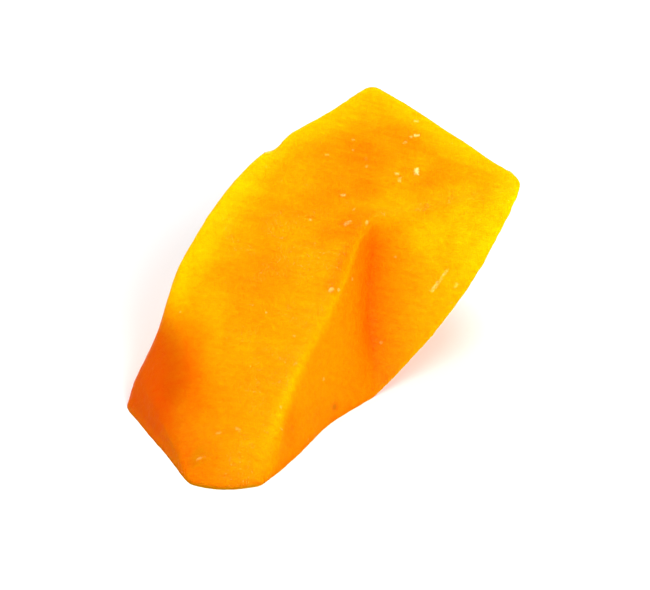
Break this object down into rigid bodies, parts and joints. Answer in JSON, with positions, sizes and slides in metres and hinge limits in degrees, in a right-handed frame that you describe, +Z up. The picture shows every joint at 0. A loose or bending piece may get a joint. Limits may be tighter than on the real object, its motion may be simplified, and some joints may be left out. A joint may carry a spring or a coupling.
{
  "type": "mango slice",
  "caption": "Thick-cut wedge of peeled ripe mango flesh with flat knife-cut faces, a rounded outer side and a pinched valley in front; rests on its flat cut base.",
  "frame": {"origin": "on the table, at the centre of the piece's bounding box in plan", "axes": "+Z up; -Y towards the long sloping front cut with the valley beside it; +X towards the thin right lobe"},
  "size_m": [0.0448, 0.0476, 0.0275],
  "materials": {
    "mango_flesh": "moist, translucent ripe fruit flesh, golden orange, satin sheen"
  },
  "bodies": {
    "root": {"mango_slice": "mango_flesh"}
  },
  "joints": []
}
